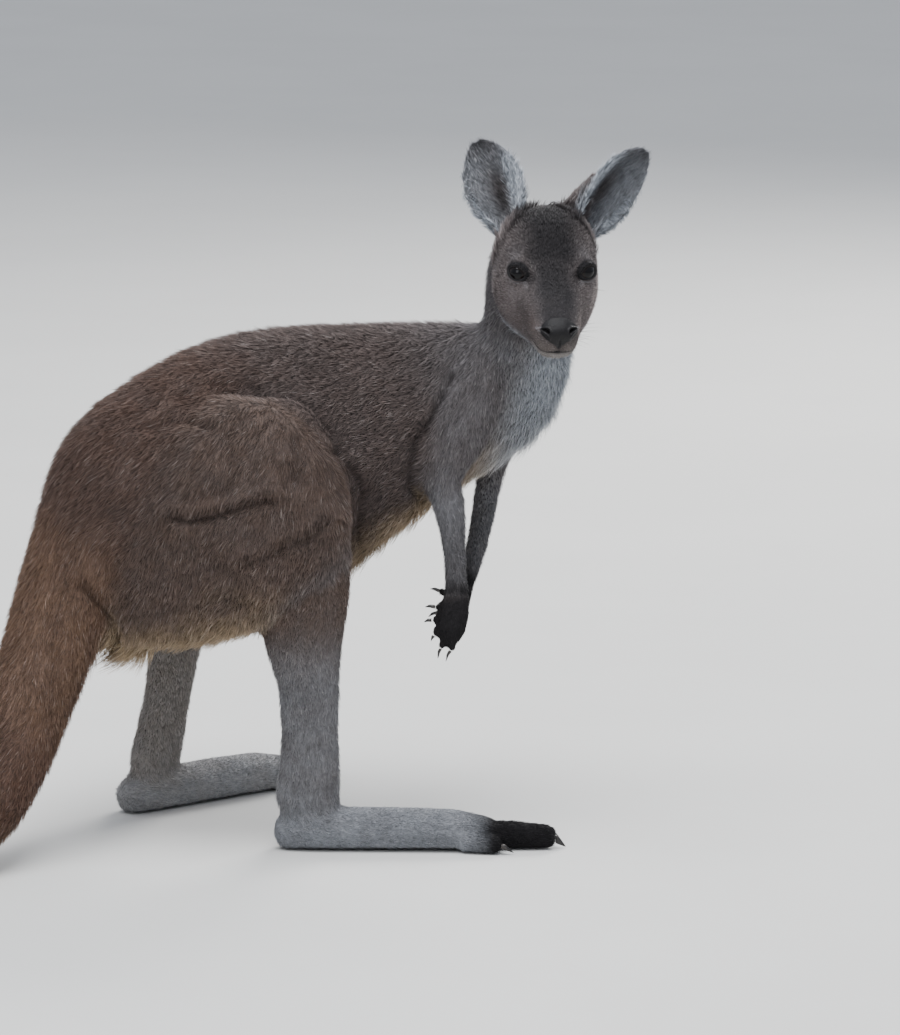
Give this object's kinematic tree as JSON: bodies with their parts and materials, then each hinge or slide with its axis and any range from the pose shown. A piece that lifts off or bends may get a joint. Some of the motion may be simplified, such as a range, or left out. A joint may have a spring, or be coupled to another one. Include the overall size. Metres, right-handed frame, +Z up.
{
  "type": "kangaroo",
  "caption": "Life-size model of a western grey kangaroo standing still on its hind feet, arms hanging, tail on the ground and head turned to one side.",
  "frame": {"origin": "on the floor, under the middle of the bounding box", "axes": "+X to the front of the animal, +Y to its left, +Z up; the head faces -Y and the tail trails towards -X and -Y"},
  "size_m": [1.0288, 0.7246, 0.6966],
  "materials": {
    "coat_back": "dense short coat, grizzled dark brown-grey",
    "coat_shoulder": "dense short coat, grizzled grey-brown",
    "coat_rump": "dense short coat, dark reddish brown",
    "coat_tail": "dense short coat, reddish brown, darker on top",
    "coat_face": "very short coat, dark brown-grey, with a bare black-brown nose",
    "coat_throat": "longer soft coat, pale grey",
    "coat_ear": "very short coat, grey-brown outside and pale hair inside",
    "coat_leg": "short coat, grey to cream",
    "coat_hand": "near-bare black skin with very short black hair",
    "claw": "smooth black horn",
    "eye": "wet, near-black brown"
  },
  "bodies": {
    "root": {"chest": "coat_shoulder", "belly": "coat_back", "rump": "coat_rump", "tail_base": "coat_tail", "tail_middle": "coat_tail", "tail_end": "coat_tail", "neck": "coat_throat", "head": "coat_face", "eye_right": "eye", "eye_left": "eye", "ear_right": "coat_ear", "ear_left": "coat_ear", "thigh_right": "coat_rump", "shank_right": "coat_leg", "foot_right": "coat_leg", "claw_foot_right_second": "claw", "claw_foot_right_third": "claw", "claw_foot_right_fourth": "claw", "claw_foot_right_fifth": "claw", "thigh_left": "coat_rump", "shank_left": "coat_leg", "foot_left": "coat_leg", "claw_foot_left_second": "claw", "claw_foot_left_third": "claw", "claw_foot_left_fourth": "claw", "claw_foot_left_fifth": "claw", "upper_arm_right": "coat_shoulder", "forearm_right": "coat_leg", "hand_right": "coat_hand", "claw_hand_right_first": "claw", "claw_hand_right_second": "claw", "claw_hand_right_third": "claw", "claw_hand_right_fourth": "claw", "claw_hand_right_fifth": "claw", "upper_arm_left": "coat_shoulder", "forearm_left": "coat_leg", "hand_left": "coat_hand", "claw_hand_left_first": "claw", "claw_hand_left_second": "claw", "claw_hand_left_third": "claw", "claw_hand_left_fourth": "claw", "claw_hand_left_fifth": "claw"}
  },
  "joints": []
}
